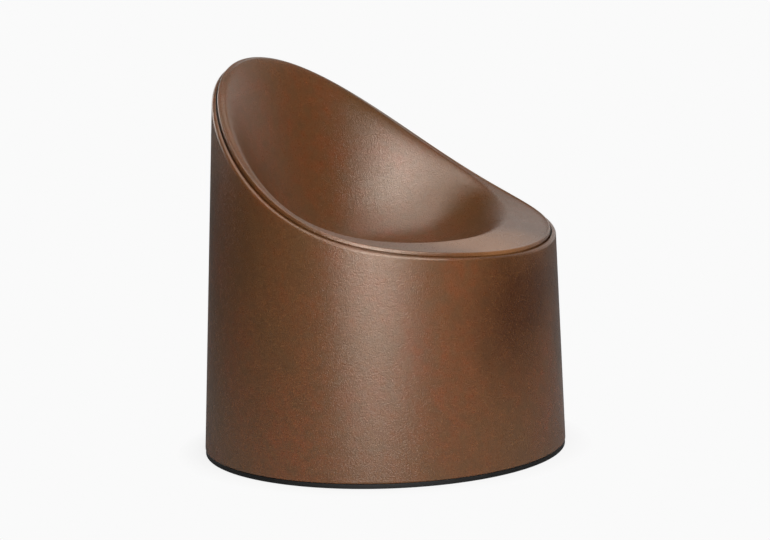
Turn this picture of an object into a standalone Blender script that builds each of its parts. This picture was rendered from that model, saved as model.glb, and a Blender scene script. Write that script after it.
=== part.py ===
"""Steel armchair: a rolled sheet drum whose top is cut along a rising curve and closed by a dished seat pan.

The front of the chair faces -Y, +Z is up, and the origin is the centre of the footprint on the floor.
Lengths are metres. A turn is the angle round the drum in radians, 0 at the front and pi at the back.
"""

import math

import bmesh
import bpy
import numpy as np

# Overall form
OVERALL_HEIGHT = 0.752
BASE_WIDTH = 0.752
BASE_DEPTH = 0.692
WALL_DRAFT_SHARE = 0.040
FRONT_RIM_HEIGHT = 0.412
RIM_CURVE_SHARES = (0.42, -0.80, 2.39, -1.01)

# Sheet, joints and fits
SHEET = 0.0020
CLEARANCE = 0.0003
CUT_OVERRUN = 0.010

# Drum wall
RIM_ROLL_RADIUS = 0.0060
RIM_LIP = 0.0080
FOOT_ROLL_RADIUS = 0.0030
FOOT_FLANGE = 0.0140

# Seat pan
PAN_RISE = 0.0090
PAN_GROOVE = 0.0025
PAN_SKIRT = 0.0100
BEAD_RADIUS = 0.0045
BEAD_FALL_DEGREES = 45
PAN_BAND = 0.0205
LIP_LEAST_WIDTH = 0.0040
CREST_FRONT = 0.225
CREST_RADIUS = 0.390
CREST_BLEND = 0.030
BASIN_HEIGHT = 0.374
BASIN_CENTRE = 0.030
BOWL_FULLNESS_SHARE = 4.5
BOWL_EDGE_SHARE = 1.8
LIP_ROW_SHARES = (0.33, 0.67)
BOWL_ROW_SHARES = (1.0, 0.985, 0.95, 0.895, 0.82, 0.73, 0.62, 0.48, 0.30, 0.10)

# Ledge under the pan, ring under the ribs, foot
LEDGE_WIDTH = 0.0190
LEDGE_THICKNESS = 0.0025
BASE_RING_WIDTH = 0.060
BASE_RING_THICKNESS = 0.0030
FOOT_HEIGHT = 0.0090
FOOT_INSET = 0.0012
FOOT_WIDTH = 0.030

# Ribs and their edge trims
RIB_THICKNESS = 0.0030
RIB_END_GAP = 0.030
RIB_SPACING = 0.240
RIB_REACH_SHARE = 0.82
RIB_END_DROP = 0.060
RIB_FOOT_LENGTH = 0.075
RIB_ARCH = 0.040
RIB_LAP_HEIGHT = 0.200
RIB_HOLE_RADIUS = 0.034
RIB_HOLE_HEIGHT = 0.135
CENTRE_HOLE_SHARE = 0.75
CROSS_HOLE_SHARE = 0.40
RIB_POINTS = 40
TRIM_WIDTH = 0.0100
TRIM_TOP = 0.0030
TRIM_SKIRT = 0.0060
TRIM_SEAT_GAP = 0.0006

# Brackets and bolts
BRACKET_LEG = 0.036
BRACKET_LENGTH = 0.030
BRACKET_THICKNESS = 0.0030
BRACKET_END_GAP = 0.004
BOLT_PLACE_SHARE = 0.60
BOLT_RADIUS = 0.0040
BOLT_HOLE_RADIUS = 0.0045
BOLT_HEAD_RADIUS = 0.0075
BOLT_HEAD_HEIGHT = 0.0053
BOLT_END_LENGTH = 0.0015
NUT_HEIGHT = 0.0065

# Facets and fine steps
COLUMNS = 60
FINE_STEPS = 12
RIM_PASSES = 12
ROLL_STEPS = 3
ROUND_SIDES = 12
HOLE_SIDES = 24
SMOOTH_DEGREES = 35
QUARTER_DEGREES = 90

TURNS = np.arange(COLUMNS) * math.tau / COLUMNS


# Materials

def make_material(name, colour, roughness, metallic):
    """A plain surface with one colour, roughness and metallic value."""
    material = bpy.data.materials.new(name)
    material.use_nodes = True
    shader = material.node_tree.nodes["Principled BSDF"]
    shader.inputs["Base Color"].default_value = (*colour, 1.0)
    shader.inputs["Roughness"].default_value = roughness
    shader.inputs["Metallic"].default_value = metallic
    material.diffuse_color = (*colour, 1.0)
    return material


def make_materials():
    """The chair's four finishes by name."""
    return {
        "brown_coat": make_material("brown_coat", (0.130, 0.062, 0.035), 0.42, 0.55),
        "dark_primer": make_material("dark_primer", (0.035, 0.030, 0.028), 0.65, 0.10),
        "black_rubber": make_material("black_rubber", (0.012, 0.012, 0.012), 0.80, 0.0),
        "zinc": make_material("zinc", (0.55, 0.55, 0.53), 0.35, 1.0),
    }


# Bodies from rings and outlines

def add_object(name, mesh, material):
    """Puts a mesh into the scene under a name with its material."""
    mesh.materials.append(material)
    thing = bpy.data.objects.new(name, mesh)
    bpy.context.scene.collection.objects.link(thing)
    return thing


def finish_mesh(shape, name, smooth):
    """Turns a bmesh into a mesh with its faces outward, smooth where it is round."""
    bmesh.ops.recalc_face_normals(shape, faces=shape.faces)
    mesh = bpy.data.meshes.new(name)
    shape.to_mesh(mesh)
    shape.free()
    if smooth:
        mesh.shade_smooth()
        mesh.set_sharp_from_angle(angle=math.radians(SMOOTH_DEGREES))
    return mesh


def join_rings(shape, one, other):
    """Faces between two rings of equal count."""
    for near in range(len(one)):
        far = (near + 1) % len(one)
        shape.faces.new((one[near], one[far], other[far], other[near]))


def add_ring_body(name, rings, material, looped):
    """A closed body skinned over rings: looped joins the last ring to the first, else the ends are capped."""
    shape = bmesh.new()
    loops = [[shape.verts.new(point) for point in ring] for ring in rings]
    for one, other in zip(loops, loops[1:]):
        join_rings(shape, one, other)
    if looped:
        join_rings(shape, loops[-1], loops[0])
    else:
        shape.faces.new(loops[0])
        shape.faces.new(loops[-1])
    return add_object(name, finish_mesh(shape, name, True), material)


def add_plate(name, outline, thickness, matrix_rows, material):
    """A flat plate: a closed outline of (along, up) pairs, thick either side of its own middle plane."""
    along, across, start = (np.array(row) for row in matrix_rows)
    places, heights = np.array(outline).T
    middle = start + np.outer(places, along) + np.outer(heights, (0, 0, 1))
    shape = bmesh.new()
    sides = []
    for side in (-thickness / 2, thickness / 2):
        sides.append([shape.verts.new(point) for point in middle + across * side])
    shape.faces.new(sides[0])
    shape.faces.new(sides[1])
    join_rings(shape, *sides)
    return add_object(name, finish_mesh(shape, name, False), material)


def add_cutter(name, mesh):
    """A hidden shape that only cuts others."""
    cutter = bpy.data.objects.new(name, mesh)
    bpy.context.scene.collection.objects.link(cutter)
    cutter.hide_render = True
    cutter.display_type = "WIRE"
    return cutter


def cylinder_mesh(name, radius, low, high, sides):
    """An upright cylinder on the Z axis between two heights."""
    shape = bmesh.new()
    bmesh.ops.create_cone(
        shape, cap_ends=True, segments=sides, radius1=radius, radius2=radius, depth=high - low
    )
    bmesh.ops.translate(shape, verts=shape.verts, vec=(0, 0, (low + high) / 2))
    return finish_mesh(shape, name, True)


def box_mesh(name, low, high):
    """A box between two corners."""
    shape = bmesh.new()
    bmesh.ops.create_cube(shape, size=1)
    middle = (np.array(low) + np.array(high)) / 2
    size = np.array(high) - np.array(low)
    bmesh.ops.scale(shape, verts=shape.verts, vec=size)
    bmesh.ops.translate(shape, verts=shape.verts, vec=middle)
    return finish_mesh(shape, name, False)


def cut(thing, cutter):
    """Takes the cutter's shape away from the thing."""
    modifier = thing.modifiers.new(cutter.name, "BOOLEAN")
    modifier.operation = "DIFFERENCE"
    modifier.solver = "EXACT"
    modifier.object = cutter


# The drum and its rising rim

def wall_places(turns, heights, inset):
    """Places on the leaning wall, moved inward by the inset."""
    half_width = BASE_WIDTH / 2 - WALL_DRAFT_SHARE * heights - inset
    half_depth = BASE_DEPTH / 2 - WALL_DRAFT_SHARE * heights - inset
    return np.stack(
        [half_width * np.sin(turns), -half_depth * np.cos(turns), heights + 0 * turns], axis=-1
    )


def cut_height(depths):
    """Height of the curve that cuts the drum, by the place along Y: a polynomial that rises to the back."""
    top = OVERALL_HEIGHT - PAN_RISE
    front = WALL_DRAFT_SHARE * FRONT_RIM_HEIGHT - BASE_DEPTH / 2
    back = BASE_DEPTH / 2 - WALL_DRAFT_SHARE * top
    share = (depths - front) / (back - front)
    rise = sum(part * share ** (power + 1) for power, part in enumerate(RIM_CURVE_SHARES))
    return FRONT_RIM_HEIGHT + (top - FRONT_RIM_HEIGHT) * rise


def rim_places(turns):
    """The wall's top edge: where the leaning wall meets the cutting curve."""
    heights = np.full_like(turns, FRONT_RIM_HEIGHT)
    for _ in range(RIM_PASSES):
        heights = cut_height(wall_places(turns, heights, 0)[..., 1])
    return wall_places(turns, heights, 0)


def unit(vectors):
    """Vectors made one long."""
    return vectors / np.linalg.norm(vectors, axis=-1, keepdims=True)


def rim_section(turns, inward, above):
    """Places by the rim, given inward from the wall and above its edge in the plane square to the edge."""
    step = math.tau / COLUMNS / FINE_STEPS
    edge = rim_places(turns)
    tangent = unit(rim_places(turns + step) - rim_places(turns - step))
    radii = np.array([BASE_WIDTH / 2, BASE_DEPTH / 2, math.inf])
    outward = unit(edge / radii**2)
    up = unit(np.cross(outward, tangent))
    up = up * np.sign(up[..., 2:])
    return edge - outward * inward + up * above


def roll_points(radius, low_degrees, high_degrees, steps):
    """Inward and upward offsets along part of a circle that starts on the wall: 0 is the wall, 90 the top."""
    angles = np.radians(np.linspace(low_degrees, high_degrees, steps + 1))
    return [(radius - radius * math.cos(angle), radius * math.sin(angle)) for angle in angles]


def add_outer_shell(material):
    """The rolled wall with its top edge rolled in along the cut and its lower edge turned in as a flange."""
    low = FOOT_HEIGHT + CLEARANCE
    foot_middle = low + FOOT_ROLL_RADIUS
    rings = []
    for inward, up in reversed(roll_points(FOOT_ROLL_RADIUS, 0, QUARTER_DEGREES, ROLL_STEPS)):
        rings.append(wall_places(TURNS, foot_middle - up, inward))
    for inward, up in roll_points(RIM_ROLL_RADIUS, 0, QUARTER_DEGREES, ROLL_STEPS):
        rings.append(rim_section(TURNS, inward, up - RIM_ROLL_RADIUS))
    rings.append(rim_section(TURNS, RIM_LIP, 0))
    rings.append(rim_section(TURNS, RIM_LIP, -SHEET))
    for inward, up in reversed(roll_points(RIM_ROLL_RADIUS - SHEET, 0, QUARTER_DEGREES, ROLL_STEPS)):
        rings.append(rim_section(TURNS, SHEET + inward, up - RIM_ROLL_RADIUS))
    for inward, up in roll_points(FOOT_ROLL_RADIUS - SHEET, 0, QUARTER_DEGREES, ROLL_STEPS):
        rings.append(wall_places(TURNS, foot_middle - up, SHEET + inward))
    rings.append(wall_places(TURNS, low + SHEET, FOOT_FLANGE))
    rings.append(wall_places(TURNS, low, FOOT_FLANGE))
    return add_ring_body("outer_shell", rings, material, True)


# The seat pan

def smooth_least(one, other, blend):
    """The smaller of two values, rounded off where they are within the blend of each other."""
    near = np.maximum(blend - np.abs(one - other), 0) / blend
    return np.minimum(one, other) - near * near * blend / 4


def pan_band_places(turns):
    """The inner edge of the pan's beaded band, where the dish begins."""
    fall = BEAD_RADIUS * (1 - math.sin(math.radians(BEAD_FALL_DEGREES)))
    return rim_section(turns, PAN_BAND, PAN_RISE - fall)


def bearing_table():
    """Bearings from the basin's centre to the band's inner edge, with its distances and heights."""
    turns = np.linspace(-math.pi, math.pi, COLUMNS * FINE_STEPS + 1)[:-1]
    edge = pan_band_places(turns)
    across = edge[:, 0]
    back = edge[:, 1] - BASIN_CENTRE
    bearings = np.arctan2(across, -back)
    order = np.argsort(bearings)
    return bearings[order], np.hypot(across, back)[order], edge[order, 2]


def edge_at(bearings, values, table):
    """A value of the band's edge at each bearing, read off the closed table."""
    return np.interp(bearings, table[0], values, period=math.tau)


def opening_distance(bearings, table):
    """From the basin's centre to the crest in front, and to the band at the sides and back."""
    to_band = edge_at(bearings, table[1], table) - LIP_LEAST_WIDTH
    centre = CREST_RADIUS - CREST_FRONT - BASIN_CENTRE
    along = -np.cos(bearings) * centre
    to_crest = along + np.sqrt(along**2 + CREST_RADIUS**2 - centre**2)
    return smooth_least(to_band, to_crest, CREST_BLEND)


def pan_places(bearings, distances, table):
    """Places on the pan's upper face: a lip that follows the cutting curve, and a bowl that drops from it."""
    across = distances * np.sin(bearings)
    depths = BASIN_CENTRE - distances * np.cos(bearings)
    edge_distance = edge_at(bearings, table[1], table)
    edge_depth = BASIN_CENTRE - edge_distance * np.cos(bearings)
    frontness = ((1 + np.cos(bearings)) / 2) ** 2
    lip = edge_at(bearings, table[2], table) + frontness * (cut_height(depths) - cut_height(edge_depth))
    share = np.clip(distances / opening_distance(bearings, table), 0, 1)
    fall = (1 - share**BOWL_FULLNESS_SHARE) ** BOWL_EDGE_SHARE
    return np.stack([across, depths, lip - (lip - BASIN_HEIGHT) * fall], axis=-1)


def pan_height(across, depths, table):
    """Height of the pan's upper face above given places."""
    back = depths - BASIN_CENTRE
    return pan_places(np.arctan2(across, -back), np.hypot(across, back), table)[..., 2]


def pan_underside(across, depths, table):
    """Height of the pan's under face: one sheet below, measured square to the face."""
    height = pan_height(across, depths, table)
    rise_across = pan_height(across + SHEET, depths, table) - pan_height(across - SHEET, depths, table)
    rise_back = pan_height(across, depths + SHEET, table) - pan_height(across, depths - SHEET, table)
    slopes = np.hypot(rise_across, rise_back) / (2 * SHEET)
    return height - SHEET * np.sqrt(1 + slopes**2)


def pan_rings(table):
    """Rings of the pan's upper face from the foot of its skirt, over the bead and down into the basin."""
    skirt = RIM_LIP + PAN_GROOVE
    rings = [rim_section(TURNS, skirt, -PAN_SKIRT)]
    bead_end = QUARTER_DEGREES + BEAD_FALL_DEGREES
    for inward, up in roll_points(BEAD_RADIUS, 0, bead_end, ROLL_STEPS + 1):
        rings.append(rim_section(TURNS, skirt + inward, PAN_RISE - BEAD_RADIUS + up))
    edge = pan_band_places(TURNS)
    rings.append(edge)
    bearings = np.arctan2(edge[:, 0], BASIN_CENTRE - edge[:, 1])
    edge_distance = np.hypot(edge[:, 0], edge[:, 1] - BASIN_CENTRE)
    opening = opening_distance(bearings, table)
    for share in LIP_ROW_SHARES:
        rings.append(pan_places(bearings, edge_distance + (opening - edge_distance) * share, table))
    for share in BOWL_ROW_SHARES:
        rings.append(pan_places(bearings, opening * share, table))
    return np.array(rings)


def under_face(rings):
    """The rings moved one sheet thickness below the face that they lie on."""
    along = np.gradient(rings, axis=0)
    around = np.roll(rings, -1, axis=1) - np.roll(rings, 1, axis=1)
    normals = unit(np.cross(around, along))
    return rings - normals * SHEET


def add_seat_pan(material, table):
    """The pressed pan: skirt, beaded band, front lip and bowl in one sheet."""
    upper = pan_rings(table)
    lower = under_face(upper)
    rings = list(upper[::-1]) + list(lower)
    return add_ring_body("seat_pan", rings, material, False)


# Rings inside the wall

def add_seat_ledge(material):
    """The strip welded inside the wall below its rolled edge, which carries the pan's skirt."""
    top = -PAN_SKIRT - CLEARANCE
    outer = SHEET + CLEARANCE
    low = top - LEDGE_THICKNESS
    corners = ((outer, top), (outer, low), (LEDGE_WIDTH, low), (LEDGE_WIDTH, top))
    rings = [rim_section(TURNS, inward, above) for inward, above in corners]
    return add_ring_body("seat_ledge", rings, material, True)


def base_ring_top():
    """Height of the upper face of the base ring."""
    return FOOT_HEIGHT + 2 * CLEARANCE + SHEET + BASE_RING_THICKNESS


def add_base_ring(material):
    """The flat ring that lies on the wall's flange and carries the ribs."""
    top = base_ring_top()
    low = top - BASE_RING_THICKNESS
    outer = FOOT_ROLL_RADIUS
    inner = outer + BASE_RING_WIDTH
    corners = ((outer, low), (outer, top), (inner, top), (inner, low))
    rings = [wall_places(TURNS, height, inset) for inset, height in corners]
    return add_ring_body("base_ring", rings, material, True)


def add_foot_ring(material):
    """The black foot: it carries the flange and, inside it, steps up to the base ring."""
    step = FOOT_FLANGE + CLEARANCE
    high = base_ring_top() - BASE_RING_THICKNESS - CLEARANCE
    inner = FOOT_INSET + FOOT_WIDTH
    corners = (
        (FOOT_INSET, 0), (FOOT_INSET, FOOT_HEIGHT), (step, FOOT_HEIGHT),
        (step, high), (inner, high), (inner, 0),
    )
    rings = [wall_places(TURNS, height, inset) for inset, height in corners]
    return add_ring_body("foot_ring", rings, material, True)


# Ribs

class RibPlane:
    """An upright plane under the pan, either front to back or side to side."""

    def __init__(self, name, lengthwise, place):
        self.name = name
        self.lengthwise = lengthwise
        self.place = place
        self.along = (0, 1, 0) if lengthwise else (1, 0, 0)
        self.across = (1, 0, 0) if lengthwise else (0, 1, 0)
        self.start = (place, 0, 0) if lengthwise else (0, place, 0)

    def rows(self):
        """The plane's directions and starting point."""
        return self.along, self.across, self.start

    def ends(self):
        """Where the rib stops short of the wall, at the front or left and at the back or right."""
        inset = SHEET + RIB_END_GAP
        long_axis = BASE_DEPTH if self.lengthwise else BASE_WIDTH
        short_axis = BASE_WIDTH if self.lengthwise else BASE_DEPTH
        reach = long_axis / 2 - WALL_DRAFT_SHARE * FRONT_RIM_HEIGHT - inset
        width = short_axis / 2 - WALL_DRAFT_SHARE * FRONT_RIM_HEIGHT - inset
        end = reach * math.sqrt(1 - (self.place / width) ** 2)
        return -end, end

    def under_pan(self, places, half_width, table):
        """Height just below the pan, clear of it across the given width."""
        least = np.full_like(places, math.inf)
        for side in (-half_width, 0, half_width):
            aside = self.place + side + 0 * places
            spot = (aside, places) if self.lengthwise else (places, aside)
            least = np.minimum(least, pan_underside(*spot, table))
        return least - TRIM_SEAT_GAP

    def reach(self, table):
        """How far the rib's upper edge follows the bowl each way."""
        limits = []
        for sign in (-1, 1):
            bearing = math.atan2(0, -sign) if self.lengthwise else sign * math.pi / 2
            opening = float(opening_distance(np.array([bearing]), table)[0]) * RIB_REACH_SHARE
            if self.lengthwise:
                limits.append(BASIN_CENTRE + sign * opening)
            else:
                limits.append(sign * math.sqrt(opening**2 - (self.place - BASIN_CENTRE) ** 2))
        return limits


def trim_depth():
    """From the trim's upper face down to the rib's edge."""
    return TRIM_TOP + CLEARANCE


def rib_edge(plane, table):
    """Points of the rib's upper edge, below its trim."""
    near, far = plane.reach(table)
    places = np.linspace(near, far, RIB_POINTS)
    seat = plane.under_pan(places, TRIM_WIDTH / 2, table)
    slopes = np.gradient(seat, places)
    return places, seat - trim_depth() * np.sqrt(1 + slopes**2)


def rib_outline(plane, table):
    """Feet on the base ring, an arch between them, and an upper edge that follows the pan."""
    low = base_ring_top() + CLEARANCE
    front, back = plane.ends()
    places, heights = rib_edge(plane, table)
    points = [(front, low), (front, heights[0] - RIB_END_DROP)]
    points += list(zip(places, heights))
    points += [(back, heights[-1] - RIB_END_DROP), (back, low)]
    points += [(back - RIB_FOOT_LENGTH, low), (back - RIB_FOOT_LENGTH - RIB_ARCH, low + RIB_ARCH)]
    points += [(front + RIB_FOOT_LENGTH + RIB_ARCH, low + RIB_ARCH), (front + RIB_FOOT_LENGTH, low)]
    return points


def cut_rib_holes(rib, plane, places):
    """Round lightening holes through a rib."""
    for number, place in enumerate(places):
        name = f"{plane.name}_hole_{number}"
        mesh = cylinder_mesh(name, RIB_HOLE_RADIUS, -CUT_OVERRUN, CUT_OVERRUN, HOLE_SIDES)
        cutter = add_cutter(name, mesh)
        cutter.rotation_euler = (0, math.pi / 2, 0) if plane.lengthwise else (math.pi / 2, 0, 0)
        spot = np.array(plane.start) + np.array(plane.along) * place
        cutter.location = (*spot[:2], RIB_HOLE_HEIGHT)
        cut(rib, cutter)


def cut_lap(rib, name, place_x, place_y, low, high):
    """A slot as wide as the crossing rib, between two heights."""
    half = RIB_THICKNESS / 2 + CLEARANCE
    mesh = box_mesh(name, (-half, -half, low), (half, half, high))
    cutter = add_cutter(name, mesh)
    cutter.location = (place_x, place_y, 0)
    cut(rib, cutter)


def add_ribs(planes, material, table):
    """The centre rib, slotted from above, and the cross ribs, slotted from below."""
    centre, *crossing = planes
    rib = add_plate(centre.name, rib_outline(centre, table), RIB_THICKNESS, centre.rows(), material)
    for other in crossing:
        cut_lap(rib, f"{other.name}_slot", 0, other.place, RIB_LAP_HEIGHT - CLEARANCE, OVERALL_HEIGHT)
    outer_hole = centre.ends()[1] * CENTRE_HOLE_SHARE
    cut_rib_holes(rib, centre, (-outer_hole, 0, outer_hole))
    for other in crossing:
        rib = add_plate(other.name, rib_outline(other, table), RIB_THICKNESS, other.rows(), material)
        cut_lap(rib, f"{other.name}_lap", 0, other.place, -CUT_OVERRUN, RIB_LAP_HEIGHT)
        outer_hole = other.ends()[1] * CROSS_HOLE_SHARE
        cut_rib_holes(rib, other, (-outer_hole, outer_hole))


def add_trim(name, plane, start, stop, material, table):
    """A rubber channel pushed over a stretch of a rib's upper edge."""
    rib_places, rib_heights = rib_edge(plane, table)
    inner = rib_places[(rib_places > start) & (rib_places < stop)]
    places = np.concatenate([[start], inner, [stop]])
    edge = np.interp(places, rib_places, rib_heights)
    slope = np.gradient(edge, places)
    length = np.sqrt(1 + slope**2)
    half = TRIM_WIDTH / 2
    slot = RIB_THICKNESS / 2 + CLEARANCE
    top = trim_depth()
    section = (
        (-half, -TRIM_SKIRT), (-half, top), (half, top), (half, -TRIM_SKIRT),
        (slot, -TRIM_SKIRT), (slot, CLEARANCE), (-slot, CLEARANCE), (-slot, -TRIM_SKIRT),
    )
    along, across, origin = (np.array(row) for row in plane.rows())
    rings = []
    for place, height, tilt, stretch in zip(places, edge, slope, length):
        ring = []
        for side, up in section:
            shift = -up * tilt / stretch
            spot = origin + along * (place + shift) + across * side
            ring.append(spot + np.array((0, 0, height + up / stretch)))
        rings.append(ring)
    return add_ring_body(name, rings, material, False)


def add_trims(planes, material, table):
    """Trims on each stretch of rib edge between the crossings."""
    centre, *crossing = planes
    margin = TRIM_WIDTH
    near, far = centre.reach(table)
    stops = [near] + [other.place for other in crossing] + [far]
    names = ("front", "middle", "rear")
    for name, low, high in zip(names, stops, stops[1:]):
        add_trim(f"{name}_centre_trim", centre, low + margin, high - margin, material, table)
    for other in crossing:
        near, far = other.reach(table)
        add_trim(f"{other.name}_left_trim", other, near + margin, -margin, material, table)
        add_trim(f"{other.name}_right_trim", other, margin, far - margin, material, table)


# Brackets, bolts and nuts

def bracket_mesh():
    """An angle bracket on the X axis: its upright leg in the plane X = 0, its foot leg towards +X."""
    leg, thick, half = BRACKET_LEG, BRACKET_THICKNESS, BRACKET_LENGTH / 2
    outline = ((0, 0), (leg, 0), (leg, thick), (thick, thick), (thick, leg), (0, leg))
    shape = bmesh.new()
    face = shape.faces.new([shape.verts.new((across, -half, up)) for across, up in outline])
    grown = bmesh.ops.extrude_face_region(shape, geom=[face])
    moved = [item for item in grown["geom"] if isinstance(item, bmesh.types.BMVert)]
    bmesh.ops.translate(shape, verts=moved, vec=(0, BRACKET_LENGTH, 0))
    return finish_mesh(shape, "bracket", False)


def level_ring(shape, sides, radius, height):
    """Corners of a regular polygon round the Z axis."""
    angles = [math.tau * side / sides for side in range(sides)]
    return [shape.verts.new((radius * math.cos(a), radius * math.sin(a), height)) for a in angles]


def bolt_mesh(grip):
    """A bolt on the Z axis: its head stands on Z = 0, its shank runs down through the grip and a nut."""
    tip = -(grip + 2 * CLEARANCE + NUT_HEIGHT + BOLT_END_LENGTH)
    shape = bmesh.new()
    head_top = level_ring(shape, ROUND_SIDES // 2, BOLT_HEAD_RADIUS, BOLT_HEAD_HEIGHT)
    head_low = level_ring(shape, ROUND_SIDES // 2, BOLT_HEAD_RADIUS, 0)
    shank_top = level_ring(shape, ROUND_SIDES, BOLT_RADIUS, 0)
    shank_low = level_ring(shape, ROUND_SIDES, BOLT_RADIUS, tip)
    shape.faces.new(head_top)
    shape.faces.new(shank_low)
    join_rings(shape, head_top, head_low)
    join_rings(shape, shank_top, shank_low)
    bridge_hexagon(shape, head_low, shank_top)
    return finish_mesh(shape, "bolt", True)


def bridge_hexagon(shape, hexagon, circle):
    """Faces between a hexagon and a circle with twice as many corners."""
    for side in range(len(hexagon)):
        after = (side + 1) % len(hexagon)
        first, middle, last = (circle[(2 * side + step) % len(circle)] for step in range(3))
        shape.faces.new((hexagon[side], first, middle))
        shape.faces.new((hexagon[side], middle, hexagon[after]))
        shape.faces.new((hexagon[after], middle, last))


def nut_mesh():
    """A nut on the Z axis that hangs below Z = 0."""
    bore = BOLT_RADIUS + CLEARANCE
    shape = bmesh.new()
    outer = [level_ring(shape, ROUND_SIDES // 2, BOLT_HEAD_RADIUS, height) for height in (0, -NUT_HEIGHT)]
    inner = [level_ring(shape, ROUND_SIDES, bore, height) for height in (0, -NUT_HEIGHT)]
    join_rings(shape, *outer)
    join_rings(shape, *inner)
    for ring, hole in zip(outer, inner):
        bridge_hexagon(shape, ring, hole)
    return finish_mesh(shape, "nut", True)


def stand_along(thing, spot, axis):
    """Moves a thing to a spot with its own +Z along the axis."""
    x, y, z = axis
    thing.location = spot
    thing.rotation_euler = (0, math.atan2(math.hypot(x, y), z), math.atan2(y, x))


def add_bolted_joint(label, bracket, other, grip, spot, axis, material):
    """One bolt and nut through a bracket leg and the piece behind it, in holes cut for them."""
    name = f"{label}_hole"
    hole = add_cutter(name, cylinder_mesh(name, BOLT_HOLE_RADIUS, -CUT_OVERRUN, CUT_OVERRUN, ROUND_SIDES))
    stand_along(hole, spot, axis)
    cut(bracket, hole)
    cut(other, hole)
    seat = BRACKET_THICKNESS + CLEARANCE
    bolt = add_object(f"{label}_bolt", bolt_mesh(seat + CLEARANCE + grip), material)
    stand_along(bolt, spot + axis * seat, axis)
    nut = add_object(f"{label}_nut", nut_mesh(), material)
    stand_along(nut, spot - axis * (grip + 2 * CLEARANCE), axis)


def add_bracket(label, plane, end, material):
    """An angle bracket at one end of a rib, bolted to the rib and to the base ring."""
    inward = -1 if end > 0 else 1
    along, across, start = (np.array(row, float) for row in plane.rows())
    up = np.array((0.0, 0.0, 1.0))
    middle = end + inward * (BRACKET_END_GAP + BRACKET_LENGTH / 2)
    beside = RIB_THICKNESS / 2 + CLEARANCE
    corner = start + along * middle + across * beside + up * (base_ring_top() + CLEARANCE)
    bracket = add_object(f"{label}_bracket", bracket_mesh(), material)
    bracket.location = corner
    bracket.rotation_euler = (0, 0, 0 if plane.lengthwise else math.pi / 2)
    reach = BRACKET_LEG * BOLT_PLACE_SHARE
    ring = bpy.data.objects["base_ring"]
    rib = bpy.data.objects[plane.name]
    ring_spot = corner + across * reach
    rib_spot = corner + up * reach
    add_bolted_joint(f"{label}_ring", bracket, ring, BASE_RING_THICKNESS, ring_spot, up, material)
    add_bolted_joint(f"{label}_rib", bracket, rib, RIB_THICKNESS, rib_spot, across, material)


def add_brackets(planes, material):
    """Two brackets to each rib."""
    labels = {True: ("front", "rear"), False: ("left", "right")}
    for plane in planes:
        for label, end in zip(labels[plane.lengthwise], plane.ends()):
            add_bracket(f"{plane.name}_{label}", plane, end, material)


def main():
    """Builds the chair in an empty scene."""
    for thing in list(bpy.data.objects):
        bpy.data.objects.remove(thing, do_unlink=True)
    finishes = make_materials()
    table = bearing_table()
    planes = [
        RibPlane("centre_rib", True, 0.0),
        RibPlane("front_rib", False, -RIB_SPACING / 2),
        RibPlane("rear_rib", False, RIB_SPACING / 2),
    ]
    add_outer_shell(finishes["brown_coat"])
    add_seat_pan(finishes["brown_coat"], table)
    add_seat_ledge(finishes["dark_primer"])
    add_base_ring(finishes["dark_primer"])
    add_foot_ring(finishes["black_rubber"])
    add_ribs(planes, finishes["dark_primer"], table)
    add_trims(planes, finishes["black_rubber"], table)
    add_brackets(planes, finishes["zinc"])


main()
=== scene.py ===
import math

import bpy
import numpy as np
from mathutils import Matrix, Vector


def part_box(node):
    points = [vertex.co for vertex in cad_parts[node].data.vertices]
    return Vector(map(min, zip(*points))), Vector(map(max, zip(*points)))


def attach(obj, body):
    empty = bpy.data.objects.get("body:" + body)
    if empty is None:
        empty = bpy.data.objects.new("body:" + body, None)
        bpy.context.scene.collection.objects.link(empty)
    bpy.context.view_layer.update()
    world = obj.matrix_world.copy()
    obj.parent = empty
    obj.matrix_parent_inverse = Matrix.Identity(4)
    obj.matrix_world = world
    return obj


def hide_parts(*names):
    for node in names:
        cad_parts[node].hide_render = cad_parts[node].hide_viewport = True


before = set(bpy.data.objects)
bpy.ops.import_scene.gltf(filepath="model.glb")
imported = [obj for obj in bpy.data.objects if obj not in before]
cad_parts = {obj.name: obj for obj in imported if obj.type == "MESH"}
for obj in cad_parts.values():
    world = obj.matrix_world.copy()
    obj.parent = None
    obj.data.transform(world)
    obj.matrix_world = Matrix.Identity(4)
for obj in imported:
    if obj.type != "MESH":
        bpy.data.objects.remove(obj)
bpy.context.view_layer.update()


# Outer shell
# One steel sheet rolled into a leaning oval drum and cut along a rising curve. Its top edge is rolled
# inward along the cut and its lower edge is turned in as a flange, so no raw edge shows. It has a baked
# brown coat.

HEIGHT = 0.752
WIDTH = 0.752
DEPTH = 0.692
DRAFT = 0.040
FRONT_RIM = 0.412
RIM_CURVE_SHARES = (0.42, -0.80, 2.39, -1.01)
SHEET = 0.0020
GAP = 0.0003
RIM_ROLL = 0.0060
RIM_LIP = 0.0080
FOOT_ROLL = 0.0030
FOOT_FLANGE = 0.0140
FOOT_HEIGHT = 0.0090
PAN_RISE = 0.0090
COLUMNS = 480
SETTLING_PASSES = 20
ROLL_STEPS = 10
WALL_SHARES = (0.004, 0.02, 0.08, 0.2, 0.35, 0.5, 0.65, 0.8, 0.92, 0.98, 0.996)
SHARP_DEGREES = 40

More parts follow.
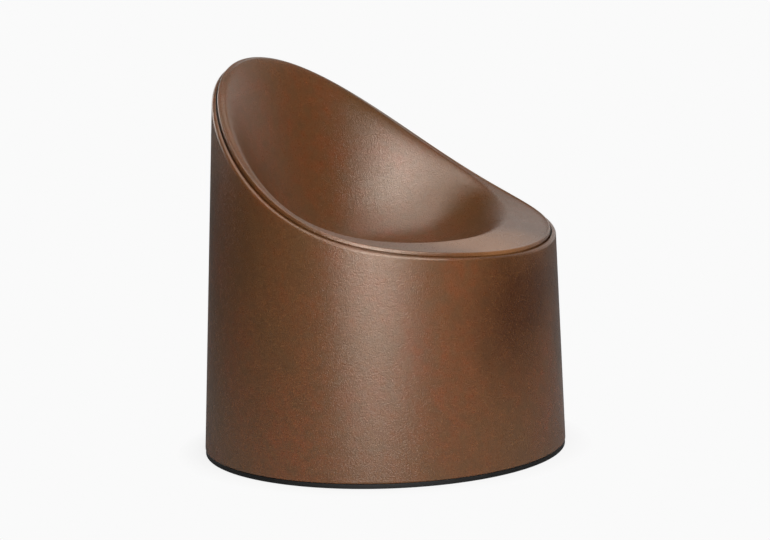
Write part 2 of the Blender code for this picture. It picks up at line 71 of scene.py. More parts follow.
OLIVE_BROWN = (0.132, 0.050, 0.015)
RED_BROWN = (0.170, 0.045, 0.012)
MOTTLE_BROWN = (0.106, 0.045, 0.014)
# Painted shade: the next brown darkens spots on the chair's front and back-left, which face away from the
# lamps.
PAINTED_SHADE_BROWN = (0.062, 0.015, 0.002)
# Painted highlight: the next brown makes the front of the seat's lip paler.
PAINTED_HIGHLIGHT_BROWN = (0.300, 0.125, 0.045)
SPECK_BROWN = (0.42, 0.20, 0.07)
WARM_GLOSS = (1.0, 0.94, 0.86, 1.0)
PAINTED_SPOT_BEND = 0.25
# Spots of painted shade, each with its middle, reach and depth.
PAINTED_SHADE_SPOTS = (
    ((-0.08, -0.34, 0.30), 0.18, 1.0),
    ((0.14, -0.30, 0.32), 0.18, 1.0),
    ((-0.20, 0.27, 0.46), 0.22, 0.6),
)

turns = np.arange(COLUMNS) * math.tau / COLUMNS


def wall_places(turns, heights, inset):
    """A leaning oval. Across: half the width, less the draft times the height and less the inset, times
    the turn's sine. Back: half the depth less the same, times minus the turn's cosine."""
    across = (WIDTH / 2 - DRAFT * heights - inset) * np.sin(turns)
    back = -(DEPTH / 2 - DRAFT * heights - inset) * np.cos(turns)
    return np.stack([across, back, heights + 0 * turns], axis=-1)


def cut_height(back):
    """Height of the cut: the front rim's height plus the rise to the back times a fourth-degree
    polynomial of the share of the way from the front to the back."""
    top = HEIGHT - PAN_RISE
    front = DRAFT * FRONT_RIM - DEPTH / 2
    share = (back - front) / (DEPTH / 2 - DRAFT * top - front)
    rise = sum(part * share ** (power + 1) for power, part in enumerate(RIM_CURVE_SHARES))
    return FRONT_RIM + (top - FRONT_RIM) * rise


def rim_edge(turns):
    """Where the wall meets the cut: the height is put back into the wall until it no longer changes."""
    heights = np.full_like(turns, FRONT_RIM)
    for _ in range(SETTLING_PASSES):
        heights = cut_height(wall_places(turns, heights, 0)[..., 1])
    return wall_places(turns, heights, 0)


def unit(vectors):
    """Each vector divided by its length."""
    return vectors / np.linalg.norm(vectors, axis=-1, keepdims=True)


def rim_section(turns, inward, above):
    """The rim's edge, moved inward along the oval's level normal, and up along the line that is square to
    that normal and to the edge."""
    step = math.tau / COLUMNS / 4
    edge = rim_edge(turns)
    tangent = unit(rim_edge(turns + step) - rim_edge(turns - step))
    outward = unit(edge / np.array([WIDTH / 2, DEPTH / 2, math.inf]) ** 2)
    up = unit(np.cross(outward, tangent))
    return edge - outward * inward + up * np.sign(up[..., 2:]) * above


def roll(radius, low, high, steps):
    """Inward and upward offsets on a circle that touches the wall: the radius less the radius times the
    cosine, and the radius times the sine, from one angle in degrees to another."""
    angles = np.radians(np.linspace(low, high, steps + 1))
    return np.stack([radius - radius * np.cos(angles), radius * np.sin(angles)], axis=-1)


def put_skin(name, rows, looped):
    """A closed mesh over rows of points that each run once round. Point j of row i has number i times the
    row's length plus j, and a face joins j and j + 1 of neighbouring rows. A looped skin joins its last
    row to its first; another is closed by a fan round the middle of each end row. Faces turn round if the
    enclosed volume, a sixth of the sum of each triangle's triple product, comes out below zero."""
    count, around = rows.shape[:2]
    numbers = np.arange(count * around).reshape(count, around)
    points = rows.reshape(-1, 3)
    near = numbers if looped else numbers[:-1]
    far = np.roll(numbers, -1, axis=0) if looped else numbers[1:]
    faces = np.stack([near, np.roll(near, -1, 1), np.roll(far, -1, 1), far], axis=-1).reshape(-1, 4)
    fans = np.empty((0, 3), int)
    if not looped:
        first = np.full(around, len(points))
        fans = np.concatenate([
            np.stack([first, np.roll(numbers[0], -1), numbers[0]], axis=-1),
            np.stack([first + 1, numbers[-1], np.roll(numbers[-1], -1)], axis=-1),
        ])
        points = np.concatenate([points, rows[[0, -1]].mean(axis=1)])
    triangles = np.concatenate([faces[:, :3], faces[:, [0, 2, 3]], fans])
    one, two, three = (points[triangles[:, corner]] for corner in range(3))
    turned = -1 if np.einsum("ij,ij->", one, np.cross(two, three)) < 0 else 1
    polygons = [*faces[:, ::turned].tolist(), *fans[:, ::turned].tolist()]
    mesh = bpy.data.meshes.new(name)
    mesh.from_pydata(points.tolist(), [], polygons)
    mesh.shade_smooth()
    mesh.set_sharp_from_angle(angle=math.radians(SHARP_DEGREES))
    piece = bpy.data.objects.new(name, mesh)
    bpy.context.scene.collection.objects.link(piece)
    return piece


def between(first, last, shares):
    """Rows on the straight way from one row to another at given shares of it."""
    return first + (last - first) * np.array(shares)[:, None, None]


def foot_curl(radius, inset, start, end):
    """Rows round the turned-in lower edge: a part of a circle whose centre is FOOT_ROLL inside the wall's
    face and as far above its foot."""
    level = FOOT_HEIGHT + GAP + FOOT_ROLL
    places = roll(radius, start, end, ROLL_STEPS)
    return np.array([wall_places(turns, level - up, inset + inward) for inward, up in places])


def rim_curl(radius, inset, start, end):
    """Rows round the rolled rim: a part of a circle whose centre is RIM_ROLL inside the wall's face and
    as far below the cut."""
    places = roll(radius, start, end, ROLL_STEPS)
    return np.array([rim_section(turns, inset + inward, up - RIM_ROLL) for inward, up in places])


def shell_rows():
    """Up the outside of the wall from the flange, over the rolled rim, back down the inside to the
    flange."""
    low = FOOT_HEIGHT + GAP
    foot = foot_curl(FOOT_ROLL, 0, 90, 0)
    rim = rim_curl(RIM_ROLL, 0, 0, 90)
    lip = np.array([rim_section(turns, RIM_LIP, above) for above in (0, -SHEET)])
    inner_rim = rim_curl(RIM_ROLL - SHEET, SHEET, 90, 0)
    inner_foot = foot_curl(FOOT_ROLL - SHEET, SHEET, 0, 90)
    flange = np.array([wall_places(turns, height, FOOT_FLANGE) for height in (low + SHEET, low)])
    outside = between(foot[-1], rim[0], WALL_SHARES)
    inside = between(inner_rim[-1], inner_foot[0], WALL_SHARES)
    return np.concatenate([foot, outside, rim, lip, inner_rim, inside, inner_foot, flange])


class Socket:
    """An output of one of the material's or world's nodes. Sums, differences and products with it add
    Math nodes."""

    def __init__(self, tree, link=None):
        self.tree = tree
        self.link = link

    def node(self, kind, sockets, out=0, **settings):
        """Adds a node of a kind: its settings first, then its sockets' values or links."""
        node = self.tree.nodes.new("ShaderNode" + kind)
        for name, value in settings.items():
            setattr(node, name, value)
        for name, value in sockets.items():
            if isinstance(value, Socket):
                self.tree.links.new(value.link, node.inputs[name])
            else:
                node.inputs[name].default_value = value
        return Socket(self.tree, node.outputs[out])

    def math(self, operation, one, other):
        """A Math node on two values."""
        return self.node("Math", {0: one, 1: other}, operation=operation)

    def __add__(self, other):
        return self.math("ADD", self, other)

    def __sub__(self, other):
        return self.math("SUBTRACT", self, other)

    def __rsub__(self, other):
        return self.math("SUBTRACT", other, self)

    def __mul__(self, other):
        return self.math("MULTIPLY", self, other)

    __radd__ = __add__
    __rmul__ = __mul__


def new_finish(name):
    """An empty material and the Socket that its nodes start from."""
    material = bpy.data.materials.new(name)
    material.use_nodes = True
    material.node_tree.nodes.clear()
    return material, Socket(material.node_tree)


def noise(place, scale, detail, roughness=0.5):
    """A Noise value about 0.5 at so many waves to the metre."""
    sockets = {"Vector": place, "Scale": scale, "Detail": detail, "Roughness": roughness}
    return place.node("TexNoise", sockets)


def tint(share, one, other):
    """One colour that turns into another as the share goes from 0 to 1. A Mix node's colours are its
    sockets 6 and 7."""
    first, second = ((*colour, 1.0) if isinstance(colour, tuple) else colour for colour in (one, other))
    return share.node("Mix", {"Factor": share, 6: first, 7: second}, out=2, data_type="RGBA")


def limited(value, low, high):
    """A value's share of the way from low to high, held within 0 and 1."""
    return value.node("MapRange", {"Value": value, "From Min": low, "From Max": high}, clamp=True)


def finish_with(material, shader):
    """Links a shader to the material's output."""
    output = material.node_tree.nodes.new("ShaderNodeOutputMaterial")
    material.node_tree.links.new(shader.link, output.inputs["Surface"])
    return material


def painted_spots(place, patch, spots):
    """Soft spots of painted shade and painted highlight in the coat: round each spot's middle the share
    falls from its depth to 0 over its reach, and the patches' noise bends the edges."""
    total = 0.0
    for middle, reach, depth in spots:
        apart = place.node("VectorMath", {0: place, 1: middle}, out="Value", operation="DISTANCE")
        total = total + (1.0 - limited(apart + (patch - 0.5) * PAINTED_SPOT_BEND, 0.0, reach)) * depth
    return limited(total, 0.0, 1.0)


def brown_coat(name, highlight_spots=()):
    """Baked brown metallic coat: patches of olive and red brown a hand wide, a finer mottle, painted shade
    in darker spots on the front and back-left, and a pebbled grain with paler tops. Given spots, such as
    the lip's front, get a painted highlight that makes them paler."""
    material, start = new_finish(name)
    place = start.node("TexCoord", {}, out="Object")
    patch = noise(place, scale=7.0, detail=3.0)
    mottle = noise(place, scale=45.0, detail=5.0, roughness=0.65)
    grain = noise(place, scale=380.0, detail=2.0, roughness=0.6)
    fine = noise(place, scale=800.0, detail=2.0)
    patched = tint(limited(patch, 0.35, 0.65), OLIVE_BROWN, RED_BROWN)
    mottled = tint(limited(mottle, 0.35, 0.65) * 0.8, patched, MOTTLE_BROWN)
    # Painted shade in spots, and where highlight spots are given, a painted highlight over it.
    painted_light_colour = tint(painted_spots(place, patch, PAINTED_SHADE_SPOTS), mottled, PAINTED_SHADE_BROWN)
    if highlight_spots:
        # Painted highlight: the given spots are painted paler.
        painted_light_colour = tint(painted_spots(place, patch, highlight_spots), painted_light_colour, PAINTED_HIGHLIGHT_BROWN)
    speckled = tint(limited(fine, 0.54, 0.70) * 0.5, painted_light_colour, SPECK_BROWN)
    rough = 0.20 + mottle * 0.06 + grain * 0.12
    bump = start.node("Bump", {"Strength": 1.0, "Distance": 0.0008, "Height": grain * 0.6 + fine * 0.4})
    shader = start.node("BsdfPrincipled", {
        "Base Color": speckled, "Metallic": 0.12, "Roughness": rough, "IOR": 2.00,
        "Normal": bump, "Specular Tint": WARM_GLOSS,
    })
    return finish_with(material, shader)


shell = put_skin("shell_wall", shell_rows(), True)
shell.data.materials.append(brown_coat("brown_coat"))
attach(shell, "root")
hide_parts("outer_shell")


# Seat pan
# One pressed sheet: a skirt that stands on the ledge inside the wall, a bead that shows above the rim,
# and a dish whose crest crosses the front as a wide lip and sweeps up into the back. It has the wall's
# coat, with a painted highlight that makes the lip paler.

PAN_GROOVE = 0.0025
PAN_SKIRT = 0.0100
PAN_BAND = 0.0205
BEAD_RADIUS = 0.0045
BEAD_TOP = 0.0028
BEAD_FACE = 0.0036
BEAD_UNDER = 0.0026
BEAD_LOWER = 0.0001
BEAD_START = -60
BEAD_TILT = 13
BEAD_END = 135
LIP_LEAST = 0.0040
CREST_FRONT = 0.225
CREST_RADIUS = 0.390
CREST_BLEND = 0.030
BASIN_HEIGHT = 0.374
BASIN_CENTRE = 0.030
BOWL_FULLNESS = 4.5
BOWL_EDGE = 1.8
UNDER_STEPS = 8
OVER_STEPS = 14
LIP_STEPS = 12
BOWL_ROWS = 71
SKIRT_SHARES = (0, 0.3, 0.7, 0.9)
# A spot of painted highlight on the front of the lip: middle, reach and depth.
LIP_HIGHLIGHT_SPOTS = (((-0.06, -0.245, 0.410), 0.17, 1.2),)


def smooth_least(one, other, blend):
    """The smaller of two values, less a quarter of the blend times the square of how near they are, which
    is 1 where they are equal and 0 where they are the blend apart."""
    near = np.maximum(blend - np.abs(one - other), 0) / blend
    return np.minimum(one, other) - near * near * blend / 4


def band_edge(turns):
    """The inner edge of the bead's band, where the dish begins: as high as a plain round bead of
    BEAD_RADIUS comes down to at BEAD_END."""
    return rim_section(turns, PAN_BAND, PAN_RISE - BEAD_RADIUS * (1 - math.sin(math.radians(BEAD_END))))


def opening(bearings, to_band):
    """Distance from the basin's centre to the dish's crest: in front a circle that the bearing's line
    meets, and elsewhere just inside the band, the two blended."""
    centre = CREST_RADIUS - CREST_FRONT - BASIN_CENTRE
    along = -np.cos(bearings) * centre
    to_crest = along + np.sqrt(along**2 + CREST_RADIUS**2 - centre**2)
    return smooth_least(to_band - LIP_LEAST, to_crest, CREST_BLEND)


def dish(bearings, distances, edge):
    """The dish at a bearing and distance from the basin's centre. Its lip keeps the band's height, and in
    front follows the cut. The bowl falls from the lip to the basin by (1 - share ** fullness) ** edge of
    the way, where the share is the distance over the opening."""
    to_band = np.hypot(edge[:, 0], edge[:, 1] - BASIN_CENTRE)
    across = distances * np.sin(bearings)
    back = BASIN_CENTRE - distances * np.cos(bearings)
    frontness = ((1 + np.cos(bearings)) / 2) ** 2
    lip = edge[:, 2] + frontness * (cut_height(back) - cut_height(edge[:, 1]))
    share = np.clip(distances / opening(bearings, to_band), 0, 1)
    fall = (1 - share**BOWL_FULLNESS) ** BOWL_EDGE
    return np.stack([across, back, lip - (lip - BASIN_HEIGHT) * fall], axis=-1)


def bead_section():
    """Inward and upward offsets round the bead: out round its under side, up a narrow face that leans
    back by BEAD_TILT, and over its top."""
    under = roll(BEAD_UNDER, BEAD_START, BEAD_TILT, UNDER_STEPS)
    over = roll(BEAD_TOP, BEAD_TILT, BEAD_END, OVER_STEPS) + (0, PAN_RISE - BEAD_LOWER - BEAD_TOP)
    tilt = math.radians(BEAD_TILT)
    rise = BEAD_FACE * np.array([math.sin(tilt), math.cos(tilt)])
    over[:, 0] += under[-1, 0] + rise[0] - over[0, 0]
    under[:, 1] += over[0, 1] - rise[1] - under[-1, 1]
    return np.concatenate([under, over])


def pan_rows():
    """The upper face goes up the skirt, out and over the bead, along the lip and down the bowl. The under
    face lies one sheet thickness from it, along the cross product of its two directions. The rows run
    outward over the upper face to the skirt's foot and back under it, where every other one is left out."""
    side = RIM_LIP + PAN_GROOVE
    section = bead_section()
    bead = np.array([rim_section(turns, side + inward, up) for inward, up in section])
    skirt_foot = rim_section(turns, side + section[0, 0], -PAN_SKIRT)
    skirt = between(skirt_foot, bead[0], SKIRT_SHARES)
    edge = band_edge(turns)
    bearings = np.arctan2(edge[:, 0], BASIN_CENTRE - edge[:, 1])
    to_band = np.hypot(edge[:, 0], edge[:, 1] - BASIN_CENTRE)
    crest = opening(bearings, to_band)
    lip_shares = np.linspace(0, 1, LIP_STEPS + 1)[1:-1]
    bowl_shares = 1 - np.linspace(0, 1, BOWL_ROWS + 1)[:-1] ** 2
    lip = [dish(bearings, to_band + (crest - to_band) * share, edge) for share in lip_shares]
    bowl = [dish(bearings, crest * share, edge) for share in bowl_shares]
    upper = np.concatenate([skirt, bead, edge[None], lip, bowl])
    along = np.gradient(upper, axis=0)
    around = np.roll(upper, -1, axis=1) - np.roll(upper, 1, axis=1)
    under = upper - unit(np.cross(around, along)) * SHEET
    return np.concatenate([upper[::-1], under[::2]])


pan = put_skin("pan_dish", pan_rows(), False)
# The pan's coat also carries the painted highlight on its lip.
pan.data.materials.append(brown_coat("lip_highlight_brown_coat", LIP_HIGHLIGHT_SPOTS))
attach(pan, "root")
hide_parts("seat_pan")


# Seat ledge
# A steel strip welded along the inside of the wall, square to it, that the pan's skirt stands on. Like
# the rest of the frame it is dipped in matt dark primer.

LEDGE_WIDTH = 0.0190
LEDGE_THICKNESS = 0.0025
STRIP_EDGE = 0.0005
CORNER_POINTS = 4

THIN_PRIMER = (0.080, 0.076, 0.071)
THICK_PRIMER = (0.118, 0.113, 0.108)
DRY_MIST = (0.170, 0.166, 0.158)


def strip_section(near, far, low, high):
    """Inward and upward offsets round a flat strip's section, its four corners rounded to STRIP_EDGE."""
    left, right = near + STRIP_EDGE, far - STRIP_EDGE
    under, over = low + STRIP_EDGE, high - STRIP_EDGE
    centres = np.array([(left, over), (right, over), (right, under), (left, under)])
    angles = np.radians(np.linspace(0, 90, CORNER_POINTS) + 90 * np.arange(len(centres))[:, None])
    around = np.stack([-np.cos(angles), np.sin(angles)], axis=-1) * STRIP_EDGE
    return (centres[:, None] + around).reshape(-1, 2)


def dark_primer():
    """Matt dark grey primer: drifts of thicker and thinner dip, a fine dry mist on top, and the skin's
    small pits."""
    material, start = new_finish("dark_primer")
    place = start.node("TexCoord", {}, out="Object")
    drift = noise(place, scale=9.0, detail=4.0)
    mist = noise(place, scale=240.0, detail=3.0, roughness=0.7)
    dipped = tint(limited(drift, 0.35, 0.65), THIN_PRIMER, THICK_PRIMER)
    colour = tint(limited(mist, 0.50, 0.72) * 0.4, dipped, DRY_MIST)
    rough = 0.52 + drift * 0.16 + mist * 0.12
    bump = start.node("Bump", {"Strength": 0.6, "Distance": 0.0004, "Height": mist})
    shader = start.node("BsdfPrincipled", {"Base Color": colour, "Roughness": rough, "Normal": bump})
    return finish_with(material, shader)


primer = dark_primer()
ledge_top = -PAN_SKIRT - GAP
ledge_section = strip_section(SHEET + GAP, LEDGE_WIDTH, ledge_top - LEDGE_THICKNESS, ledge_top)
ledge_rows = np.array([rim_section(turns, inward, above) for inward, above in ledge_section])
ledge = put_skin("ledge_strip", ledge_rows, True)
ledge.data.materials.append(primer)
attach(ledge, "root")
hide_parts("seat_ledge")


# Foot
# A black rubber ring under the wall's flange. It stands back a little from the wall, so that it reads as
# a thin dark line above the floor, and its inner part steps up to carry the base ring.

FOOT_INSET = 0.0012
FOOT_WIDTH = 0.030
FOOT_ROUND = 0.0012
FOOT_STEPS = 6

RUBBER_BLACK = (0.0040, 0.0040, 0.0042)
DUSTY_BLACK = (0.0080, 0.0078, 0.0075)


def foot_rows():
    """Round the section: outer side with its two edges rounded, top, step up to the base ring, inner
    side, bottom."""
    step = FOOT_FLANGE + GAP
    high = FOOT_HEIGHT + SHEET + GAP
    inner = FOOT_INSET + FOOT_WIDTH
    low_roll = roll(FOOT_ROUND, 90, 0, FOOT_STEPS)
    top_roll = roll(FOOT_ROUND, 0, 90, FOOT_STEPS)
    low_round = [(FOOT_INSET + inward, FOOT_ROUND - up) for inward, up in low_roll]
    top_round = [(FOOT_INSET + inward, FOOT_HEIGHT - FOOT_ROUND + up) for inward, up in top_roll]
    corners = [*low_round, *top_round, (step, FOOT_HEIGHT), (step, high), (inner, high), (inner, 0)]
    return np.array([wall_places(turns, height, inset) for inset, height in corners])


def foot_rubber():
    """Matt black rubber with a dusty bloom."""
    material, start = new_finish("foot_rubber")
    place = start.node("TexCoord", {}, out="Object")
    bloom = limited(noise(place, scale=35.0, detail=5.0, roughness=0.6), 0.35, 0.75)
    colour = tint(bloom, RUBBER_BLACK, DUSTY_BLACK)
    pores = noise(place, scale=700.0, detail=3.0)
    rough = 0.62 + bloom * 0.15
    bump = start.node("Bump", {"Strength": 0.3, "Distance": 0.0003, "Height": pores})
    shader = start.node("BsdfPrincipled", {"Base Color": colour, "Roughness": rough, "Normal": bump})
    return finish_with(material, shader)


foot = put_skin("foot_strip", foot_rows(), True)
foot.data.materials.append(foot_rubber())
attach(foot, "root")
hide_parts("foot_ring")


# Base ring
# A flat ring cut from steel plate, in the frame's primer. It lies on the foot's step and the wall's
# flange and carries the ribs' brackets.

BASE_RING_WIDTH = 0.060
BASE_RING_THICKNESS = 0.0030

ring_low = FOOT_HEIGHT + SHEET + 2 * GAP
ring_high = ring_low + BASE_RING_THICKNESS
ring_section = strip_section(FOOT_ROLL, FOOT_ROLL + BASE_RING_WIDTH, ring_low, ring_high)
ring_rows = np.array([wall_places(turns, height, inset) for inset, height in ring_section])
base_ring = put_skin("base_plate", ring_rows, True)
base_ring.data.materials.append(primer)
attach(base_ring, "root")
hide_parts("base_ring")


# Ribs
# Three plates cut from 3 mm steel and half-lapped under the pan, with arched feet and lightening holes.
# Their CAD shapes stay, with their cut edges broken, in the frame's primer.

EDGE_BREAK = 0.0004


def dress(node, finish):
    """Gives a kept CAD node a finish, and a small bevel along its sharp edges."""
    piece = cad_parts[node]
    for place in piece.material_slots:
        place.material = finish
    bevel = piece.modifiers.new("edge_break", "BEVEL")
    bevel.width = EDGE_BREAK
    bevel.segments = 2
    bevel.limit_method = "ANGLE"
    bevel.angle_limit = math.radians(SHARP_DEGREES)


for node in ("centre_rib", "front_rib", "rear_rib"):
    dress(node, primer)


# Rib trims
# Seven strips of extruded black rubber, pushed over the ribs' upper edges, so that the pan doesn't drum
# on them. Their CAD shapes stay, with their edges broken.

TRIM_BLACK = (0.022, 0.022, 0.023)
TALC_GREY = (0.050, 0.049, 0.047)
DRAG_WAVES = (40.0, 40.0, 900.0)


def trim_rubber():
    """Extruded black rubber: slightly glossier than the foot, with a pale talc bloom and fine drag
    lines."""
    material, start = new_finish("trim_rubber")
    place = start.node("TexCoord", {}, out="Object")
    bloom = noise(place, scale=60.0, detail=5.0, roughness=0.6)
    colour = tint(limited(bloom, 0.45, 0.75), TRIM_BLACK, TALC_GREY)
    drawn_out = place.node("VectorMath", {0: place, 1: DRAG_WAVES}, operation="MULTIPLY")
    lines = noise(drawn_out, scale=1.0, detail=2.0)
    rough = 0.45 + bloom * 0.25
    bump = start.node("Bump", {"Strength": 0.4, "Distance": 0.0002, "Height": lines})
    shader = start.node("BsdfPrincipled", {"Base Color": colour, "Roughness": rough, "Normal": bump})
    return finish_with(material, shader)


trim_finish = trim_rubber()
for node in [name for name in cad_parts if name.endswith("_trim")]:
    dress(node, trim_finish)


# Brackets
# Six angles bent from 3 mm steel and bright zinc plated, as are their bolts. They tie the ribs' ends to
# the base ring. Their CAD shapes stay, with their edges broken.

BLUISH_ZINC = (0.56, 0.58, 0.61)
STRAW_ZINC = (0.63, 0.60, 0.52)


def zinc_plate():
    """Bright zinc: a bluish plate with faint straw patches, a fine spangle in its gloss and a brushed
    skin."""
    material, start = new_finish("zinc_plate")
    place = start.node("TexCoord", {}, out="Object")
    patch = noise(place, scale=55.0, detail=3.0)
    grain = noise(place, scale=900.0, detail=3.0, roughness=0.6)
    spangle = place.node("TexVoronoi", {"Vector": place, "Scale": 320.0}, out="Color")
    flake = spangle.node("SeparateColor", {0: spangle})
    colour = tint(limited(patch, 0.40, 0.65), BLUISH_ZINC, STRAW_ZINC)
    rough = 0.24 + flake * 0.14 + grain * 0.10
    bump = start.node("Bump", {"Strength": 0.4, "Distance": 0.0001, "Height": grain})
    shader = start.node("BsdfPrincipled", {
        "Base Color": colour, "Metallic": 1.0, "Roughness": rough, "Normal": bump,
    })
    return finish_with(material, shader)


zinc = zinc_plate()
for node in [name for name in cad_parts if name.endswith("_bracket")]:
    dress(node, zinc)


# Bolts and nuts
# Twelve 8 mm hex bolts and their nuts, one pair through each bracket's upright leg and one through its
# foot. Heads and nuts have their corners turned down at 30 degrees, and the shanks carry a rolled thread.

BOLT_RADIUS = 0.0040
THREAD_PITCH = 0.00125
THREAD_DEPTH = 0.0006
THREAD_LENGTH = 0.0130
THREAD_RUNOUT = 0.0003
PITCH_ROWS = 8
TIP_CUT = 0.0009
HEAD_RADIUS = 0.0075
HEAD_HEIGHT = 0.0053
HEAD_FACE = 0.0062
WASHER_FACE = 0.0003
NUT_BORE = 0.0043
BORE_MOUTH = 0.0005
TURNED_DEPTHS = (0.0, 0.0001, 0.0003, 0.0005, 0.0008, 0.0012)
HEAD_DEPTHS = (*TURNED_DEPTHS, 0.0030, 0.0048)
SIDES = 48

angles = np.arange(SIDES) * math.tau / SIDES
hexagon = HEAD_RADIUS * math.cos(math.pi / 6) / np.cos(angles % (math.pi / 3) - math.pi / 6)


def turned_down(depths):
    """Radii of a hexagon cut by a cone: HEAD_FACE at its end face, and further in more by the depth over
    the tangent of 30 degrees."""
    return np.minimum(hexagon, HEAD_FACE + np.asarray(depths)[:, None] * math.sqrt(3))


def bolt_profile(length):
    """Heights and radii up a bolt: chamfered tip, thread, plain shank, washer face and head. The thread's
    radius falls by THREAD_DEPTH on a wave that climbs one THREAD_PITCH each turn."""
    under_head = length - HEAD_HEIGHT
    climb = np.arange(0, THREAD_LENGTH, THREAD_PITCH / PITCH_ROWS)
    wave = np.cos(climb[:, None] * math.tau / THREAD_PITCH - angles)
    tip = BOLT_RADIUS - TIP_CUT + climb[:, None]
    thread = np.minimum(BOLT_RADIUS - THREAD_DEPTH * (1 - wave) / 2, tip)
    shank = np.full((2, SIDES), BOLT_RADIUS)
    face = np.full((2, SIDES), HEAD_FACE)
    depths = np.array(HEAD_DEPTHS[::-1])
    shank_ends = [THREAD_LENGTH + THREAD_RUNOUT, under_head]
    face_ends = [under_head, under_head + WASHER_FACE]
    heights = np.concatenate([climb, shank_ends, face_ends, length - depths])
    return heights, np.concatenate([thread, shank, face, turned_down(depths)])


def nut_profile(length):
    """Heights and radii up a nut's outside, turned down at both ends, and back down its bore."""
    inward = np.array(TURNED_DEPTHS)
    bore = np.array([NUT_BORE + BORE_MOUTH, NUT_BORE, NUT_BORE, NUT_BORE + BORE_MOUTH])
    bore_heights = [length, length - BORE_MOUTH, BORE_MOUTH, 0]
    outside = turned_down(inward)
    heights = np.concatenate([inward, length - inward[::-1], bore_heights])
    return heights, np.concatenate([outside, outside[::-1], np.tile(bore[:, None], SIDES)])


def put_fastener(node, profile, axis):
    """Sets a profile where a CAD bolt or nut is, along one of the axes, with a corner along X, or for a
    level one along Z."""
    low, high = (np.array(corner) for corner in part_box(node))
    along, corner = np.eye(3)[axis], np.eye(3)[0 if axis == 2 else 2]
    end = (low + high) / 2 - along * (high - low)[axis] / 2
    heights, radii = profile((high - low)[axis])
    across = corner * np.cos(angles)[:, None] + np.cross(along, corner) * np.sin(angles)[:, None]
    rows = end + heights[:, None, None] * along + radii[..., None] * across
    piece = put_skin(node + "_hex", rows, profile is nut_profile)
    piece.data.materials.append(zinc)
    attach(piece, "root")
    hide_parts(node)


for node in [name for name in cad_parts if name.endswith(("_bolt", "_nut"))]:
    upright = "_ring_" in node
    level = 0 if node.startswith("centre_rib") else 1
    put_fastener(node, bolt_profile if node.endswith("_bolt") else nut_profile, 2 if upright else level)


# Studio
# A pale floor that runs out into a background of the same white, six soft lamps, and the camera. The coat
# mirrors a white paper sweep behind the chair and to its right, the floor near it with a painted pool of
# light, and a dim room elsewhere.

PAPER = 0.956
FLOOR_RADIUS = 9.0
FLOOR_RINGS = 24
FLOOR_SPOKES = 96
SWEEP_DIRECTION = (0.966, 0.259, 0.0)
SWEEP_EDGE = 0.4
SWEEP_GLOSS = 0.90
FLOOR_GLOSS = 0.20
# Painted pool of light, seen only in reflections: over these distances outside the foot, the floor's colour
# for reflected rays goes from the near grey to the far grey.
PAINTED_POOL_REACH = (0.2, 1.8)
PAINTED_POOL_NEAR = (0.32, 0.32, 0.32)
PAINTED_POOL_FAR = (0.10, 0.10, 0.10)
PLAIN_FLOOR = (0.88, 0.88, 0.88)
ROOM_LEVEL = 0.015
SHADOW_REACH = 0.06
SHADOW_SHARE = 0.12

LAMP_DISTANCE = 3.0
LAMP_TARGET = np.array((0.0, 0.0, 0.40))

LOOK_AT = np.array((0.0, 0.0, 0.372))
CAMERA_AZIMUTH = -60.087
CAMERA_ELEVATION = 9.521
CAMERA_DISTANCE = 6.4329
CAMERA_ROLL = 0.798
LENS = 154.48
SENSOR_WIDTH = 36.0
AIM_RIGHT = 0.0027
AIM_DOWN = 0.02221


def put_floor():
    """A round sheet of floor: rings of points, each radius FLOOR_RADIUS times the square of its share of
    the way out, and one face in the middle."""
    radii = np.linspace(0.01, 1, FLOOR_RINGS)[:, None] ** 2 * FLOOR_RADIUS
    around = np.arange(FLOOR_SPOKES) * math.tau / FLOOR_SPOKES
    level = np.zeros((FLOOR_RINGS, FLOOR_SPOKES))
    points = np.stack([radii * np.cos(around), radii * np.sin(around), level], axis=-1)
    numbers = np.arange(FLOOR_RINGS * FLOOR_SPOKES).reshape(FLOOR_RINGS, FLOOR_SPOKES)
    near, far = numbers[:-1], numbers[1:]
    faces = np.stack([near, far, np.roll(far, -1, 1), np.roll(near, -1, 1)], axis=-1).reshape(-1, 4)
    mesh = bpy.data.meshes.new("floor")
    mesh.from_pydata(points.reshape(-1, 3).tolist(), [], [*faces.tolist(), numbers[0].tolist()])
    floor = bpy.data.objects.new("floor", mesh)
    bpy.context.scene.collection.objects.link(floor)
    return floor


def background_share(start, direction, gloss):
    """1 for rays straight from the camera or through something clear. Rays off something glossy get the
    gloss times the square of how far their direction points into the white paper sweep, and for the
    rest see the dim room or the floor's painted pool of light."""
    seen, glossy, through = (
        start.node("LightPath", {}, out=f"Is {kind} Ray") for kind in ("Camera", "Glossy", "Transmission")
    )
    sockets = {0: direction, 1: SWEEP_DIRECTION}
    along = direction.node("VectorMath", sockets, out="Value", operation="DOT_PRODUCT")
    way_in = limited(along, SWEEP_EDGE, 1.0)
    return limited(seen + through + glossy * (way_in * way_in * gloss), 0.0, 1.0)


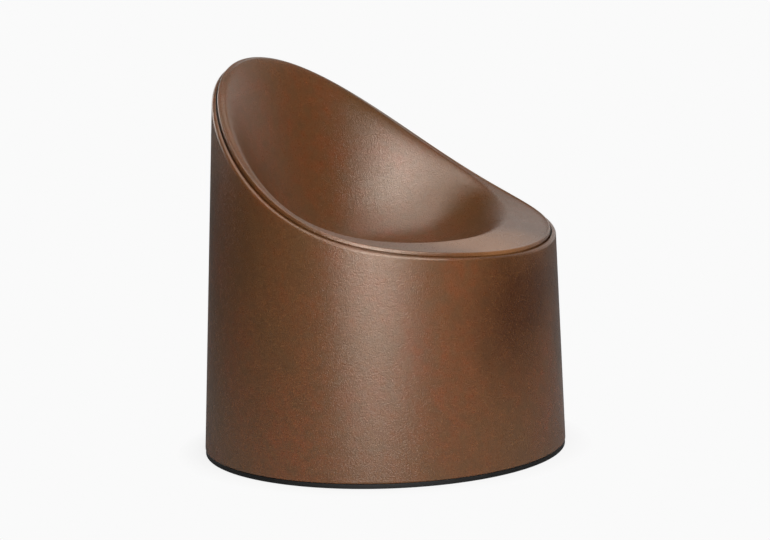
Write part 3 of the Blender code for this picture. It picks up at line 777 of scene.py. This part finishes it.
def floor_paper():
    """White floor paper. Away from the foot what is seen of it is its own even white; within SHADOW_REACH
    of the foot a share of its shading comes in, by the distance outside the foot's oval. In the coat's
    reflections its colour is a painted pool of light: lighter round the chair and darker further out."""
    material, start = new_finish("floor_paper")
    place = start.node("TexCoord", {}, out="Object")
    oval = place.node("VectorMath", {0: place, 1: (2 / WIDTH, 2 / DEPTH, 0.0)}, operation="MULTIPLY")
    length = oval.node("VectorMath", {0: oval}, out="Value", operation="LENGTH")
    outside = (length - 1.0) * (WIDTH / 2)
    direction = place.node("VectorMath", {0: place}, operation="NORMALIZE")
    shading = (1.0 - limited(outside, 0.0, SHADOW_REACH)) * SHADOW_SHARE
    # Painted pool of light: reflected rays see the floor lighter near the chair than further out.
    painted_pool = tint(limited(outside, *PAINTED_POOL_REACH), PAINTED_POOL_NEAR, PAINTED_POOL_FAR)
    glossy = start.node("LightPath", {}, out="Is Glossy Ray")
    plain = start.node("BsdfDiffuse", {"Color": tint(glossy, PLAIN_FLOOR, painted_pool)})
    glow = start.node("Emission", {"Color": (PAPER, PAPER, PAPER, 1.0), "Strength": 1.0})
    white_share = background_share(start, direction, FLOOR_GLOSS) * (1.0 - shading)
    return finish_with(material, start.node("MixShader", {"Fac": white_share, 1: plain, 2: glow}))


def way_out(azimuth, elevation):
    """The unit vector from the chair at so many degrees round from its front and so many up: across the
    sine of the turn times the rise's cosine, back minus the two cosines' product, and up the rise's
    sine."""
    turn, rise = math.radians(azimuth), math.radians(elevation)
    return np.array([math.sin(turn) * math.cos(rise), -math.cos(turn) * math.cos(rise), math.sin(rise)])


def aim(thing, place, target, up=(0, 0, 1)):
    """Puts a thing at a place with its own -Z on the target and its +Y as near up as that allows."""
    back = unit(np.array(place, float) - np.array(target, float))
    right = unit(np.cross(np.array(up, float), back))
    over = np.cross(back, right)
    thing.matrix_world = Matrix([*np.column_stack([right, over, back, place]), (0, 0, 0, 1)])


def add_lamp(name, azimuth, elevation, width, height, power):
    """A soft lamp, so wide and high, LAMP_DISTANCE from the chair's middle at an azimuth from the front
    and an elevation."""
    data = bpy.data.lights.new(name, "AREA")
    data.shape = "RECTANGLE"
    data.size = width
    data.size_y = height
    data.energy = power
    lamp = bpy.data.objects.new(name, data)
    bpy.context.scene.collection.objects.link(lamp)
    aim(lamp, LAMP_TARGET + way_out(azimuth, elevation) * LAMP_DISTANCE, LAMP_TARGET)


floor = put_floor()
floor.data.materials.append(floor_paper())

world = bpy.data.worlds.new("studio")
bpy.context.scene.world = world
world.use_nodes = True
world.node_tree.nodes.clear()
air = Socket(world.node_tree)
direction = air.node("TexCoord", {}, out="Generated")
dim = air.node("Background", {"Color": (1.0, 1.0, 1.0, 1.0), "Strength": ROOM_LEVEL})
white = air.node("Background", {"Color": (PAPER, PAPER, PAPER, 1.0), "Strength": 1.0})
sky = air.node("MixShader", {"Fac": background_share(air, direction, SWEEP_GLOSS), 1: dim, 2: white})
air_out = world.node_tree.nodes.new("ShaderNodeOutputWorld")
world.node_tree.links.new(sky.link, air_out.inputs["Surface"])

add_lamp("key_lamp", -60, 13, 1.4, 1.2, 43.0)
add_lamp("side_lamp", -44, 12, 0.9, 1.2, 9.0)
add_lamp("high_lamp", -25, 41, 1.0, 1.0, 31.0)
add_lamp("crown_lamp", -48, 56, 0.8, 0.8, 11.0)
add_lamp("top_lamp", 0, 85, 2.2, 2.2, 26.0)
add_lamp("back_lamp", 168, 20, 1.8, 1.5, 23.0)

back = way_out(CAMERA_AZIMUTH, CAMERA_ELEVATION)
turn, tip = math.radians(CAMERA_AZIMUTH), math.radians(CAMERA_ROLL)
right = np.array([math.cos(turn), math.sin(turn), 0.0])
over = np.cross(back, right)
rolled_right = right * math.cos(tip) - over * math.sin(tip)
rolled_over = right * math.sin(tip) + over * math.cos(tip)
camera_data = bpy.data.cameras.new("camera")
camera_data.lens = LENS
camera_data.sensor_width = SENSOR_WIDTH
camera_data.sensor_fit = "HORIZONTAL"
camera = bpy.data.objects.new("camera", camera_data)
bpy.context.scene.collection.objects.link(camera)
centre = LOOK_AT + rolled_right * AIM_RIGHT - rolled_over * AIM_DOWN
aim(camera, LOOK_AT + back * CAMERA_DISTANCE, centre, rolled_over)
bpy.context.scene.camera = camera

bpy.context.scene.view_settings.view_transform = "Standard"
